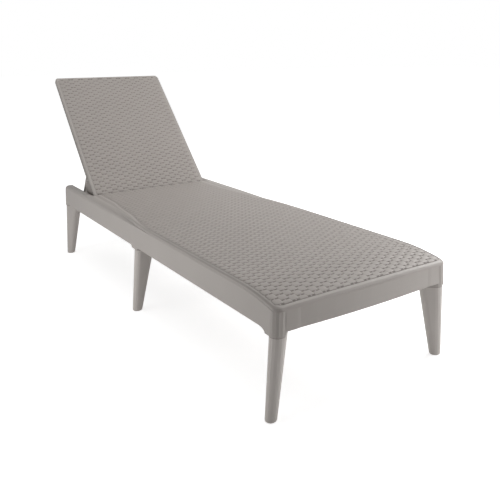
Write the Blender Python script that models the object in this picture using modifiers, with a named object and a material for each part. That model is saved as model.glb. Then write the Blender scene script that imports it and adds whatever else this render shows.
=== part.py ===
"""Moulded plastic sun lounger with a rattan look: seat frame on six legs, hinged back, folding prop.

Units are metres, +Z is up and X is the width. Local Y runs from the foot end to the head end.
The origin is under the middle of the whole lounger, on the floor, with the back raised.
"""

import math

import bmesh
import bpy
from mathutils import Matrix, Vector

# Frame
FRAME_WIDTH = 0.553
FRAME_LENGTH = 1.596
SEAT_HEIGHT = 0.2935
RAIL_HEIGHT = 0.074
RAIL_HEAD_DROP = 0.005
RAIL_FLARE = 0.003
RAIL_DEPTH = 0.028
CREST_DROP = 0.0025
CREST_ROUND_WIDTH = 0.014
CREST_ROUND_HEIGHT = 0.012
RAIL_EDGE_ROUND = 0.0012
WALL = 0.0035
FIT_GAP = 0.0003
OVERRUN = 0.002
MERGE_GAP = 0.00001
CREST_START_INSET = 0.662
CREST_END_INSET = 0.202
CREST_LEAST_WIDTH = 0.0018
CREST_RIB_DROP = 0.0088
END_WALL_DROP = 0.012
DECK_RIB_DROP = 0.0007
END_FACE_INSET = 0.002

# Seat deck
DECK_SIDE_GAP = 0.0005
DECK_HEAD_GAP = 0.004
DECK_CROWN = 0.0015
DECK_EDGE_ROUND = 0.005
DECK_RIM = 0.002
DECK_DROP = 0.0155
DECK_CORNER_DROP = 0.003
DECK_DROP_LENGTH = 0.15
DECK_BOW = 0.0045
DECK_FRONT_INSET = 0.0005
DECK_RIB = 0.003
DECK_RIB_DEPTH = 0.0235
DECK_RIB_MARGIN = 0.003
DECK_RIB_START = 0.135
DECK_RIB_COLUMNS = 5
DECK_RIB_ROWS = 10

# Legs and their sockets
LEG_TOP_RADIUS = 0.0195
LEG_TOP_SPREAD = 0.0245
LEG_FOOT_RADIUS = 0.0145
LEG_FOOT_SPREAD = 0.002
LEG_FOOT_OUTSET = 0.017
MID_FOOT_OUTSET = 0.023
LEG_FOOT_SHIFT = 0.007
LEG_WALL = 0.003
LEG_FOOT_WALL = 0.0045
LEG_HOLLOW_BOTTOM = 0.030
FOOT_ROUND = 0.004
SOCKET_WALL = 0.002
SOCKET_DROP = 0.013
SOCKET_HEIGHT = 0.0275
SOCKET_TAPER = 0.0012
SOCKET_FACE_INSET = 0.0006
SOCKET_TAPER_HEIGHT = 0.009
SOCKET_DECK_GAP = 0.0006
TENON_RADIUS = 0.0165
TENON_HEIGHT = 0.0235
POST_BLEND_START = 0.040
POST_BLEND_END = 0.068
COLLAR_BLEND_START = 0.0215
COLLAR_BLEND_END = 0.030

# Leg screws
SCREW_HEAD_RADIUS = 0.0045
SCREW_HEAD_HEIGHT = 0.0024
SCREW_RADIUS = 0.002
SCREW_LENGTH = 0.012
SCREW_POINT_LENGTH = 0.003
SCREW_RISE = 0.0185
SCREW_CLEARANCE = 0.0003
SCREW_SEAT_GAP = 0.0007

# Apron and cross bars
APRON_BOW = 0.008
APRON_RECESS = 0.005
APRON_DEPTH = 0.018
APRON_SHOULDER = 0.0012
APRON_SHOULDER_INSET = 0.0595
APRON_DROP = 0.0018
BAR_WIDTH = 0.042
BAR_WALL = 0.003
BAR_RIB_PITCH = 0.060
HINGE_BAR_INSET = 0.009
HEAD_BAR_WIDTH = 0.030
HEAD_BAR_HEIGHT = 0.015
HEAD_BAR_INSET = 0.004

# Backrest
HINGE_INSET = 0.274
HINGE_DROP = 0.012
BACK_ANGLE = math.radians(45.0)
BACK_LENGTH = 0.632
BACK_SIDE_GAP = 0.008
BACK_FACE = 0.012
BACK_ROLL_RADIUS = 0.012
BACK_REAR_LOW = -0.008
BACK_REAR_TOP = 0.003
BACK_EDGE_ROUND = 0.003
BACK_CORNER_RADIUS = 0.022
BACK_WALL = 0.004
BACK_RIB = 0.003
BACK_FIRST_RIB = 0.030
BACK_RIB_COLUMNS = 3
BACK_RIB_ROWS = 7
ARM_BAY = 0.031

# Hinge pins
HINGE_PIN_RADIUS = 0.004
HINGE_PIN_REACH = 0.026
HINGE_FLANGE_RADIUS = 0.0051
HINGE_FLANGE = 0.0025
HINGE_SPACER_RADIUS = 0.009
PIN_CLEARANCE = 0.0003
PIN_CHAMFER = 0.001

# Prop, its pivots and its racks
PROP_PIVOT_S = 0.130
PROP_PIVOT_N = -0.018
PROP_LENGTH = 0.137
PROP_FOLD = math.radians(101.8)
PROP_ARM_INSET = 0.0275
PROP_ARM_WIDTH = 0.009
PROP_EYE_RADIUS = 0.009
PROP_RECESS = 0.0025
PROP_RECESS_END = 0.0126
FOOT_BAR_RADIUS = 0.006
FOOT_BAR_END_GAP = 0.0125
PIVOT_PIN_RADIUS = 0.0035
PIVOT_HEAD_RADIUS = 0.006
PIVOT_HEAD = 0.0025
PIVOT_PIN_PROUD = 0.0005
EAR_THICKNESS = 0.006
EAR_GAP = 0.001
EAR_RADIUS = 0.008
EAR_FOOT_LENGTH = 0.036
RACK_DEPTH = 0.0195
RACK_RISE = 0.0187
RACK_NOTCH_DEPTH = 0.006
RACK_PITCH = 0.024
RACK_NOTCHES = 4
RACK_REST_NOTCH = 2
RACK_START_LENGTH = 0.012
RACK_HEAD_LENGTH = 0.006
RACK_LIFT = 0.003
LUG_LENGTH = 0.036
LUG_DEPTH = 0.012
LUG_HEIGHT = 0.014
LUG_CLEARANCE = 0.0008
LUG_S = 0.200

# Counts, angles in degrees, and shares
ROUND_STEPS = 24
LEG_ARC_STEPS = 9
ROLL_STEPS = 12
CORNER_STEPS = 6
EYE_STEPS = 8
QUARTER_ANGLES = (0, 30, 60, 90)
RAIL_END_ANGLES = (65, 45, 22, 0)
END_WALL_ANGLE = 60
FILLET_SHARES = (0.0, 0.08, 0.25, 0.5, 1.0)
DECK_COLUMN_SHARES = (0.45, 0.80)
CORNER_STATION_SHARES = (0.45, 0.7, 1.0)
FALL_STATION_SHARES = (0.0, 0.14, 0.28, 0.42, 0.6, 0.8, 1.0)
CREST_STATION_SHARES = (0.0, 0.175, 0.3, 0.45, 0.6, 0.75, 0.88, 1.0)
APRON_STATION_SHARES = (0.25, 0.5, 0.75, 1.0)
RIB_SPACING_SHARE = 0.068
DECK_DROP_POWER = 1.83
END_ROUND_SHARE = 0.82
ROOF_RISE_SHARE = 0.25
ROOF_ROUND_SHARE = 0.3
ROUND_LIMIT_SHARES = (0.6, 0.8)
POST_LOW_SHARE = 0.25
SCREW_CROWN_SHARES = (0.6, 0.33)
PIVOT_CROWN_SHARES = (0.7, 0.5)
RACK_NOTCH_SHARES = (1.3, 0.6, 1.1)
PROP_RECESS_SHARE = 0.55
END_WALL_WIDTH_SHARE = 0.5
MID_LEG_SHARE = 0.507

HALF_WIDTH = FRAME_WIDTH / 2
RAIL_BOTTOM = SEAT_HEIGHT - RAIL_HEIGHT
CREST_HEIGHT = SEAT_HEIGHT - CREST_DROP
SOCKET_BOTTOM = RAIL_BOTTOM - SOCKET_DROP
SCREW_HEIGHT = SOCKET_BOTTOM + SCREW_RISE
DECK_RIB_BOTTOM = SEAT_HEIGHT - DECK_RIB_DEPTH
MID_LEG_Y = FRAME_LENGTH * MID_LEG_SHARE
HINGE_Y = FRAME_LENGTH - HINGE_INSET
HINGE_Z = SEAT_HEIGHT - HINGE_DROP
CREST_START = HINGE_Y - CREST_START_INSET
CREST_END = HINGE_Y - CREST_END_INSET
RAIL_INNER_X = HALF_WIDTH - RAIL_DEPTH
APRON_SHOULDER_X = HALF_WIDTH - APRON_SHOULDER_INSET
BACK_WIDTH = 2 * (RAIL_INNER_X - BACK_SIDE_GAP)
FOOT_BAR_LENGTH = 2 * (RAIL_INNER_X - FOOT_BAR_END_GAP)
PROP_ARM_X = RAIL_INNER_X - PROP_ARM_INSET
SOCKET_RADIUS = LEG_TOP_RADIUS + SOCKET_WALL
SOCKET_TOP = SOCKET_BOTTOM + SOCKET_HEIGHT
RAIL_CREASE = SEAT_HEIGHT - DECK_CROWN - DECK_EDGE_ROUND - DECK_RIM
DECK_HALF_FRONT = HALF_WIDTH - DECK_SIDE_GAP
DECK_HALF_HEAD = RAIL_INNER_X - DECK_SIDE_GAP
DECK_HEAD_Y = HINGE_Y - BACK_ROLL_RADIUS - DECK_HEAD_GAP
BACK_REST_TOP_Y = (HINGE_Y + BACK_LENGTH * math.cos(BACK_ANGLE)
                   - BACK_REAR_TOP * math.sin(BACK_ANGLE))
ORIGIN_Y = (DECK_FRONT_INSET - DECK_BOW + BACK_REST_TOP_Y) / 2
EAR_OUTER_X = PROP_ARM_X - PROP_ARM_WIDTH / 2 - EAR_GAP
PROP_FOOT_ANGLE = BACK_ANGLE - PROP_FOLD
PROP_PIVOT_Y = (HINGE_Y + PROP_PIVOT_S * math.cos(BACK_ANGLE)
                - PROP_PIVOT_N * math.sin(BACK_ANGLE))
PROP_PIVOT_Z = (HINGE_Z + PROP_PIVOT_S * math.sin(BACK_ANGLE)
                + PROP_PIVOT_N * math.cos(BACK_ANGLE))
PROP_FOOT_Y = PROP_PIVOT_Y + PROP_LENGTH * math.cos(PROP_FOOT_ANGLE)
RACK_BOTTOM = RAIL_BOTTOM + RACK_LIFT
RACK_TOP = RAIL_BOTTOM + RACK_RISE
HEAD_BAR_TOP = RAIL_BOTTOM + HEAD_BAR_HEIGHT

TAUPE = (0.42, 0.39, 0.37)
TAUPE_DARK = (0.30, 0.28, 0.265)
STEEL = (0.55, 0.55, 0.56)


# Scene and object helpers

def clear_scene():
    for obj in list(bpy.data.objects):
        bpy.data.objects.remove(obj, do_unlink=True)


def new_collection(name):
    collection = bpy.data.collections.new(name)
    bpy.context.scene.collection.children.link(collection)
    return collection


def new_empty(name, parent, location, tilt=0.0):
    empty = bpy.data.objects.new(name, None)
    PIECES.objects.link(empty)
    empty.parent = parent
    empty.location = location
    empty.rotation_euler.x = tilt
    return empty


def finish_material(name, colour, roughness, metallic=0.0):
    mat = bpy.data.materials.new(name + "_finish")
    mat.use_nodes = True
    shader = mat.node_tree.nodes["Principled BSDF"]
    shader.inputs["Base Color"].default_value = (*colour, 1.0)
    shader.inputs["Roughness"].default_value = roughness
    shader.inputs["Metallic"].default_value = metallic
    return mat


def add_piece(name, mesh, parent, colour=TAUPE, roughness=0.5, metallic=0.0, smooth_angle=35.0):
    """A visible sub-part with its own finish, under the empty that carries it."""
    mesh.name = name
    mesh.shade_smooth()
    mesh.set_sharp_from_angle(angle=math.radians(smooth_angle))
    obj = bpy.data.objects.new(name, mesh)
    PIECES.objects.link(obj)
    obj.parent = parent
    mesh.materials.append(finish_material(name, colour, roughness, metallic))
    return obj


def add_tool(name, mesh, parent):
    """A helper solid that is cut from, or joined to, a piece and is never shown itself."""
    mesh.name = name
    obj = bpy.data.objects.new(name, mesh)
    TOOLS.objects.link(obj)
    obj.parent = parent
    obj.hide_render = True
    obj.display_type = "WIRE"
    return obj


def combine(piece, tool, operation):
    modifier = piece.modifiers.new(tool.name, "BOOLEAN")
    modifier.operation = operation
    modifier.object = tool


def cut(piece, tool):
    combine(piece, tool, "DIFFERENCE")


def join(piece, tool):
    combine(piece, tool, "UNION")


def mesh_from(bm):
    bmesh.ops.recalc_face_normals(bm, faces=bm.faces)
    if bm.calc_volume(signed=True) < 0:
        bmesh.ops.reverse_faces(bm, faces=bm.faces)
    mesh = bpy.data.meshes.new("shape")
    bm.to_mesh(mesh)
    bm.free()
    return mesh


# Shape helpers

def arc(centre, radius, start, end, steps):
    """Points on an arc from one angle to another, in degrees."""
    turns = [math.radians(start + (end - start) * step / steps) for step in range(steps + 1)]
    return [(centre[0] + radius * math.cos(turn), centre[1] + radius * math.sin(turn))
            for turn in turns]


def smooth_step(low, high, value):
    share = min(max((value - low) / (high - low), 0.0), 1.0)
    return share * share * (3 - 2 * share)


def add_box(bm, low, high):
    size = Vector(high) - Vector(low)
    centre = (Vector(high) + Vector(low)) / 2
    matrix = Matrix.Translation(centre) @ Matrix.Diagonal((*size, 1.0))
    bmesh.ops.create_cube(bm, size=1.0, matrix=matrix)


def box_mesh(*corner_pairs):
    """One mesh of separate boxes, each given by its lowest and highest corners."""
    bm = bmesh.new()
    for low, high in corner_pairs:
        add_box(bm, low, high)
    return mesh_from(bm)


def cross_rod_mesh(radius, x_low, x_high, y=0.0, z=0.0, steps=ROUND_STEPS):
    """A cylinder along X."""
    bm = bmesh.new()
    centre = Vector(((x_low + x_high) / 2, y, z))
    matrix = Matrix.Translation(centre) @ Matrix.Rotation(math.pi / 2, 4, "Y")
    bmesh.ops.create_cone(bm, cap_ends=True, segments=steps, radius1=radius, radius2=radius,
                          depth=abs(x_high - x_low), matrix=matrix)
    return mesh_from(bm)


def outline_mesh(points, thickness, matrix):
    """A flat outline with thickness, from a filled 2D curve centred on its own plane."""
    curve = bpy.data.curves.new("outline", "CURVE")
    curve.dimensions = "2D"
    curve.fill_mode = "BOTH"
    curve.extrude = thickness / 2
    spline = curve.splines.new("POLY")
    spline.points.add(len(points) - 1)
    for point, place in zip(spline.points, points):
        point.co = (place[0], place[1], 0.0, 1.0)
    spline.use_cyclic_u = True
    guide = bpy.data.objects.new("outline", curve)
    TOOLS.objects.link(guide)
    bpy.context.view_layer.update()
    evaluated = guide.evaluated_get(bpy.context.evaluated_depsgraph_get())
    mesh = bpy.data.meshes.new_from_object(evaluated)
    bpy.data.objects.remove(guide, do_unlink=True)
    bpy.data.curves.remove(curve)
    bm = bmesh.new()
    bm.from_mesh(mesh)
    bpy.data.meshes.remove(mesh)
    bmesh.ops.remove_doubles(bm, verts=bm.verts, dist=MERGE_GAP)
    bm.transform(matrix)
    return mesh_from(bm)


def side_profile_mesh(points, x_low, x_high):
    """A profile of (Y, Z) points with thickness along X."""
    matrix = Matrix(((0, 0, 1, (x_low + x_high) / 2), (1, 0, 0, 0), (0, 1, 0, 0), (0, 0, 0, 1)))
    return outline_mesh(points, abs(x_high - x_low), matrix)


def plan_mesh(points, z_low, z_high):
    """A plan of (X, Y) points with thickness along Z."""
    return outline_mesh(points, z_high - z_low, Matrix.Translation((0, 0, (z_low + z_high) / 2)))


def loft_mesh(rings):
    """Skin between closed rings of equally many points, with both ends capped."""
    bm = bmesh.new()
    loops = [[bm.verts.new(point) for point in ring] for ring in rings]
    count = len(rings[0])
    for lower, upper in zip(loops, loops[1:]):
        for i in range(count):
            k = (i + 1) % count
            bm.faces.new((lower[i], lower[k], upper[k], upper[i]))
    bm.faces.new(loops[0])
    bm.faces.new(loops[-1])
    bmesh.ops.remove_doubles(bm, verts=bm.verts, dist=MERGE_GAP)
    bmesh.ops.dissolve_degenerate(bm, edges=bm.edges, dist=MERGE_GAP)
    return mesh_from(bm)


def turned_mesh(profile, direction, base):
    """A turned piece: (radius, height) points from top to bottom, turned and laid along an axis.

    It is given half a step more turn, so that no edge of the piece lies straight above the axis.
    """
    bm = bmesh.new()
    verts = [bm.verts.new((radius, 0.0, height)) for radius, height in profile]
    for first, second in zip(verts, verts[1:]):
        bm.edges.new((first, second))
    mesh = bpy.data.meshes.new("profile")
    bm.to_mesh(mesh)
    bm.free()
    guide = bpy.data.objects.new("profile", mesh)
    TOOLS.objects.link(guide)
    screw = guide.modifiers.new("turn", "SCREW")
    screw.steps = ROUND_STEPS
    screw.render_steps = ROUND_STEPS
    screw.use_merge_vertices = True
    screw.merge_threshold = MERGE_GAP
    bpy.context.view_layer.update()
    evaluated = guide.evaluated_get(bpy.context.evaluated_depsgraph_get())
    result = bpy.data.meshes.new_from_object(evaluated)
    bpy.data.objects.remove(guide, do_unlink=True)
    bpy.data.meshes.remove(mesh)
    turn = Vector((0, 0, 1)).rotation_difference(Vector(direction)).to_matrix().to_4x4()
    bm = bmesh.new()
    bm.from_mesh(result)
    bpy.data.meshes.remove(result)
    bmesh.ops.remove_doubles(bm, verts=bm.verts, dist=MERGE_GAP)
    half_step = Matrix.Rotation(math.pi / ROUND_STEPS, 4, "Z")
    bm.transform(Matrix.Translation(base) @ turn @ half_step)
    return mesh_from(bm)


# Seat surface

def straight_between(stations, shape, y):
    """Value at y on the straight lines that join a shape's values at the stations."""
    place = min(max(y, stations[0]), stations[-1])
    for low, high in zip(stations, stations[1:]):
        if place <= high:
            share = (place - low) / (high - low)
            return shape(low) + (shape(high) - shape(low)) * share
    return shape(stations[-1])


def fall_stations():
    return [DECK_DROP_LENGTH * share for share in FALL_STATION_SHARES]


def crest_stations():
    return [CREST_START + (CREST_END - CREST_START) * share for share in CREST_STATION_SHARES]


def deck_half_width(y):
    """Half the deck's width: the rails' raised crests narrow it towards the hinge."""
    share = straight_between(crest_stations(), lambda at: smooth_step(CREST_START, CREST_END, at), y)
    return DECK_HALF_FRONT + (DECK_HALF_HEAD - DECK_HALF_FRONT) * share


def front_fall(y, width_share):
    """How far the deck falls away towards the foot end, a little more at its corners."""
    run = straight_between(fall_stations(), lambda at: (1 - at / DECK_DROP_LENGTH) ** DECK_DROP_POWER,
                           y)
    return (DECK_DROP + DECK_CORNER_DROP * width_share ** 4) * run


def deck_height(y, width_share):
    """Height of the deck's surface before its edges roll over."""
    return SEAT_HEIGHT - DECK_CROWN * width_share ** 2 - front_fall(y, width_share)


def deck_rim_bottom(y, width_share=1.0):
    return deck_height(y, width_share) - DECK_EDGE_ROUND - DECK_RIM


def edge_roll(inset):
    """Drop of the rounded edge at a distance inside the outline."""
    if inset >= DECK_EDGE_ROUND:
        return 0.0
    reach = DECK_EDGE_ROUND - inset
    return DECK_EDGE_ROUND - math.sqrt(max(DECK_EDGE_ROUND ** 2 - reach ** 2, 0.0))


def corner_trim(y):
    """How far the plan outline draws in at the two rounded foot corners."""
    radius = SOCKET_RADIUS
    if y >= radius:
        return 0.0
    return radius - math.sqrt(max(radius ** 2 - (radius - y) ** 2, 0.0))


def roll_insets():
    """Distances inside the outline at which the rolled edge is drawn, from the outside in."""
    return [DECK_EDGE_ROUND * (1 - math.cos(math.radians(a))) for a in QUARTER_ANGLES]


def deck_rows():
    """Stations along the deck from the foot end to the hinge end."""
    front = [DECK_FRONT_INSET + inset for inset in roll_insets()]
    front += [DECK_FRONT_INSET + SOCKET_RADIUS * share for share in CORNER_STATION_SHARES]
    fall = [y for y in fall_stations() if y > front[-1]]
    head = [DECK_HEAD_Y - inset for inset in reversed(roll_insets())]
    return front + fall + crest_stations() + head


def deck_surface_mesh():
    """The deck's top skin with its rolled edges and a short rim, thickened inwards."""
    rolls = roll_insets()
    rows = deck_rows()
    inner = DECK_COLUMN_SHARES
    columns = (len(rolls) + len(inner)) * 2
    bm = bmesh.new()
    bmesh.ops.create_grid(bm, x_segments=columns, y_segments=len(rows) - 1, size=1.0)
    for vert in bm.verts:
        i = round((vert.co.x + 1) / 2 * columns)
        j = round((vert.co.y + 1) / 2 * (len(rows) - 1))
        side = -1.0 if i < columns / 2 else 1.0
        k = min(i, columns - i)
        y = rows[j]
        half = deck_half_width(y) - corner_trim(y - DECK_FRONT_INSET)
        flat = half - DECK_EDGE_ROUND
        if k < len(rolls):
            x = half - rolls[k]
        elif k < columns / 2:
            x = flat * inner[len(inner) - 1 - (k - len(rolls))]
        else:
            x = 0.0
        width_share = x / DECK_HALF_FRONT
        inset = min(half - x, y - DECK_FRONT_INSET, DECK_HEAD_Y - y)
        z = deck_height(y, width_share) - edge_roll(inset)
        bow = DECK_BOW * (1 - width_share ** 2) * max(1 - y / DECK_DROP_LENGTH, 0.0)
        vert.co = (side * x, y - bow, z)
    rim = [edge for edge in bm.edges if edge.is_boundary]
    grown = bmesh.ops.extrude_edge_only(bm, edges=rim)["geom"]
    for vert in (g for g in grown if isinstance(g, bmesh.types.BMVert)):
        vert.co.z -= DECK_RIM
    bmesh.ops.recalc_face_normals(bm, faces=bm.faces)
    mesh = bpy.data.meshes.new("shape")
    bm.to_mesh(mesh)
    bm.free()
    return mesh


def build_seat_deck():
    """Seat deck: a thin crowned skin over a grid of ribs, as the underside of a moulding has."""
    deck = add_piece("seat_deck", deck_surface_mesh(), FRAME, colour=TAUPE)
    shell = deck.modifiers.new("wall", "SOLIDIFY")
    shell.thickness = WALL
    shell.offset = -1.0
    shell.use_even_offset = True
    ribs = add_tool("deck_ribs", box_mesh((
        (-DECK_HALF_HEAD + DECK_RIB_MARGIN, DECK_RIB_START, DECK_RIB_BOTTOM),
        (DECK_HALF_HEAD - DECK_RIB_MARGIN, DECK_HEAD_Y - WALL - DECK_RIB_MARGIN,
         SEAT_HEIGHT - DECK_CROWN - WALL / 2))), FRAME)
    pockets = []
    width = 2 * (DECK_HALF_HEAD - DECK_RIB_MARGIN)
    length = DECK_HEAD_Y - WALL - DECK_RIB_MARGIN - DECK_RIB_START
    pocket_width = (width - DECK_RIB * (DECK_RIB_COLUMNS + 1)) / DECK_RIB_COLUMNS
    pocket_length = (length - DECK_RIB * (DECK_RIB_ROWS + 1)) / DECK_RIB_ROWS
    for column in range(DECK_RIB_COLUMNS):
        for row in range(DECK_RIB_ROWS):
            x = -width / 2 + DECK_RIB + column * (pocket_width + DECK_RIB)
            y = DECK_RIB_START + DECK_RIB + row * (pocket_length + DECK_RIB)
            pockets.append(((x, y, DECK_RIB_BOTTOM - OVERRUN),
                            (x + pocket_width, y + pocket_length, SEAT_HEIGHT + OVERRUN)))
    cut(ribs, add_tool("deck_rib_pockets", box_mesh(*pockets), FRAME))
    join(deck, ribs)


# Leg sites

def rail_lean(z):
    """How far the rails' outer faces lean out at a height: they flare towards the floor."""
    return RAIL_FLARE * max(RAIL_CREASE - z, 0.0) / (RAIL_CREASE - RAIL_BOTTOM)


def leg_sites():
    """Name, side, outer circle centre, inward direction and foot offset of each leg."""
    inset = SOCKET_RADIUS
    corner = HALF_WIDTH + RAIL_FLARE - inset
    front = END_FACE_INSET + inset
    head = FRAME_LENGTH - END_FACE_INSET - inset
    diagonal = math.sqrt(0.5)
    sites = []
    for side, hand in ((-1, "left"), (1, "right")):
        sites.append(("front_" + hand, side, front, (-side * diagonal, diagonal),
                      (side * LEG_FOOT_OUTSET, LEG_FOOT_SHIFT)))
        sites.append(("mid_" + hand, side, MID_LEG_Y, (-side, 0.0), (side * MID_FOOT_OUTSET, 0.0)))
        sites.append(("rear_" + hand, side, head, (-side * diagonal, -diagonal),
                      (side * LEG_FOOT_OUTSET, -LEG_FOOT_SHIFT)))
    return [(name, side, Vector((side * corner, y)), Vector(inward), Vector(offset))
            for name, side, y, inward, offset in sites]


def stadium(centre, inward, spread, radius, z):
    """A long round section: two half circles joined along the inward direction."""
    heading = math.atan2(inward.y, inward.x)
    points = []
    for middle, start in ((centre, math.pi / 2), (centre + inward * spread, -math.pi / 2)):
        for step in range(LEG_ARC_STEPS):
            angle = heading + start + math.pi * step / (LEG_ARC_STEPS - 1)
            points.append((middle.x + radius * math.cos(angle),
                           middle.y + radius * math.sin(angle), z))
    return points


def build_legs():
    """Six hollow tapered legs, each with a tenon that goes up into its socket."""
    top = SOCKET_BOTTOM - FIT_GAP
    for name, _, centre, inward, offset in leg_sites():
        foot = centre + offset

        def section(z, radius_change=0.0):
            share = z / top
            spread = LEG_FOOT_SPREAD + (LEG_TOP_SPREAD - LEG_FOOT_SPREAD) * share
            radius = LEG_FOOT_RADIUS + (LEG_TOP_RADIUS - LEG_FOOT_RADIUS) * share
            return stadium(foot.lerp(centre, share), inward, spread, radius + radius_change, z)

        rings = []
        for angle in QUARTER_ANGLES:
            drop = FOOT_ROUND * (1 - math.sin(math.radians(angle)))
            back = FOOT_ROUND * (1 - math.cos(math.radians(angle)))
            rings.append(section(back, -drop))
        rings.append(section(top))
        for z in (top, SOCKET_BOTTOM + TENON_HEIGHT):
            rings.append(stadium(centre, inward, LEG_TOP_SPREAD, TENON_RADIUS, z))
        leg = add_piece("leg_" + name, loft_mesh(rings), FRAME, colour=TAUPE)
        inner_drop = LEG_TOP_RADIUS - TENON_RADIUS + LEG_WALL
        hollow = [section(LEG_HOLLOW_BOTTOM, -LEG_FOOT_WALL), section(top, -inner_drop)]
        hollow.append(stadium(centre, inward, LEG_TOP_SPREAD, TENON_RADIUS - LEG_WALL,
                              SOCKET_BOTTOM + TENON_HEIGHT + OVERRUN))
        cut(leg, add_tool("hollow_" + name, loft_mesh(hollow), FRAME))
        cut(leg, screw_hole(name, centre, inward))


def screw_seat(centre, inward):
    """Point where a leg screw's head bears on the socket, and the way the screw goes in."""
    reach = LEG_TOP_SPREAD + SOCKET_RADIUS - SOCKET_FACE_INSET + SCREW_SEAT_GAP
    point = centre + inward * reach
    return Vector((point.x, point.y, SCREW_HEIGHT)), Vector((inward.x, inward.y, 0.0))


def screw_hole(name, centre, inward):
    key = "screw_hole_" + name
    if key in bpy.data.objects:
        return bpy.data.objects[key]
    seat, outward = screw_seat(centre, inward)
    radius = SCREW_RADIUS + SCREW_CLEARANCE
    profile = ((0.0, OVERRUN), (radius, OVERRUN), (radius, -SCREW_LENGTH), (0.0, -SCREW_LENGTH))
    return add_tool(key, turned_mesh(profile, outward, seat), FRAME)


def build_leg_screws():
    """One pan head screw holds each leg's tenon in its socket, put in from under the seat."""
    for name, _, centre, inward, _ in leg_sites():
        seat, outward = screw_seat(centre, inward)
        crown_radius = SCREW_HEAD_RADIUS * SCREW_CROWN_SHARES[0]
        crown_edge = SCREW_HEAD_HEIGHT * SCREW_CROWN_SHARES[1]
        profile = ((0.0, SCREW_HEAD_HEIGHT), (crown_radius, SCREW_HEAD_HEIGHT),
                   (SCREW_HEAD_RADIUS, crown_edge), (SCREW_HEAD_RADIUS, 0.0),
                   (SCREW_RADIUS, 0.0), (SCREW_RADIUS, -SCREW_LENGTH + SCREW_POINT_LENGTH),
                   (0.0, -SCREW_LENGTH + FIT_GAP))
        add_piece("leg_screw_" + name, turned_mesh(profile, outward, seat), FRAME,
                  colour=STEEL, roughness=0.35, metallic=1.0)


# Side rails

def rail_bottom(y):
    """Lower edge of a rail: it falls a little to the head and sweeps down to each leg socket."""
    head = FRAME_LENGTH - END_FACE_INSET - SOCKET_RADIUS
    front = END_FACE_INSET + SOCKET_RADIUS
    nearest = min(abs(y - front), abs(y - head)) + SOCKET_RADIUS
    post = fillet_share(POST_BLEND_START, POST_BLEND_END, nearest)
    collar = fillet_share(COLLAR_BLEND_START, COLLAR_BLEND_END, abs(y - MID_LEG_Y))
    level = RAIL_BOTTOM - RAIL_HEAD_DROP * y / FRAME_LENGTH
    low = SOCKET_BOTTOM + SOCKET_TAPER_HEIGHT * POST_LOW_SHARE
    return level - (level - low) * max(post, collar)


def fillet_share(start, end, distance):
    """Share of the full dip at a distance from a leg: a quarter round, steepest at the leg."""
    share = min(max((end - distance) / (end - start), 0.0), 1.0)
    return 1 - math.sqrt(1 - share * share)


def crest_rise(y):
    """Share of the crest's full height: it starts once the deck's edge has drawn in."""
    start = CREST_START + (CREST_END - CREST_START) * CREST_STATION_SHARES[1]
    return smooth_step(start, CREST_END, y)


def rail_section(y):
    """Section of a rail as (distance from the middle, height) points: an inverted channel."""
    centre = HALF_WIDTH - SOCKET_RADIUS
    front = END_FACE_INSET + SOCKET_RADIUS
    head = FRAME_LENGTH - END_FACE_INSET - SOCKET_RADIUS
    reach = max(front - y, y - head, 0.0)
    outer = centre + math.sqrt(SOCKET_RADIUS ** 2 - reach ** 2)
    share = straight_between(crest_stations(), crest_rise, y)
    shelf = deck_rim_bottom(y) - FIT_GAP
    end_round = CREST_ROUND_HEIGHT * (reach / SOCKET_RADIUS) ** 2 * END_ROUND_SHARE
    crest = shelf + (CREST_HEIGHT - end_round - shelf) * share
    round_width = RAIL_EDGE_ROUND + (CREST_ROUND_WIDTH - RAIL_EDGE_ROUND) * share
    round_width = min(round_width, (outer - RAIL_INNER_X) * ROUND_LIMIT_SHARES[0])
    round_height = RAIL_EDGE_ROUND + (CREST_ROUND_HEIGHT - RAIL_EDGE_ROUND) * share
    crest_width = max(HALF_WIDTH - deck_half_width(y) - DECK_SIDE_GAP, CREST_LEAST_WIDTH)
    step = HALF_WIDTH - crest_width
    round_width = min(round_width, max(outer - step, RAIL_EDGE_ROUND) * ROUND_LIMIT_SHARES[1])
    behind = smooth_step(DECK_HEAD_Y, DECK_HEAD_Y + RAIL_DEPTH * ROOF_RISE_SHARE, y)
    roof_inner = shelf - WALL + (crest - shelf) * behind
    roof_outer = crest - WALL - round_height * ROOF_ROUND_SHARE
    low = rail_bottom(y)
    points = [(outer + rail_lean(low), low)]
    for angle in QUARTER_ANGLES:
        turn = math.radians(angle)
        z = crest - round_height * (1 - math.sin(turn))
        points.append((outer + rail_lean(z) - round_width * (1 - math.cos(turn)), z))
    points += [(min(step, outer - round_width), crest), (min(step, outer - round_width), shelf),
               (RAIL_INNER_X, shelf), (RAIL_INNER_X, low), (RAIL_INNER_X + WALL, low),
               (RAIL_INNER_X + WALL, roof_inner), (outer - WALL, roof_outer),
               (outer - WALL + rail_lean(low), low)]
    return points


def rail_stations():
    """Places along a rail where its section is drawn."""
    front = END_FACE_INSET + SOCKET_RADIUS
    head = FRAME_LENGTH - front
    arc = [SOCKET_RADIUS * math.sin(math.radians(a)) for a in RAIL_END_ANGLES]
    blend = [POST_BLEND_START + (POST_BLEND_END - POST_BLEND_START) * s
             for s in FILLET_SHARES]
    collar = [COLLAR_BLEND_START + (COLLAR_BLEND_END - COLLAR_BLEND_START) * s
              for s in FILLET_SHARES[::2]]
    stations = [front - reach for reach in arc]
    stations += [front - SOCKET_RADIUS + place for place in blend]
    stations += [y for y in fall_stations() if y > stations[0]]
    stations += [MID_LEG_Y - place for place in collar] + [MID_LEG_Y + place for place in collar]
    stations += crest_stations() + [DECK_HEAD_Y, DECK_HEAD_Y + RAIL_DEPTH * ROOF_RISE_SHARE]
    stations += [head + SOCKET_RADIUS - place for place in blend]
    stations += [head + reach for reach in arc]
    return sorted(set(stations))


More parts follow.
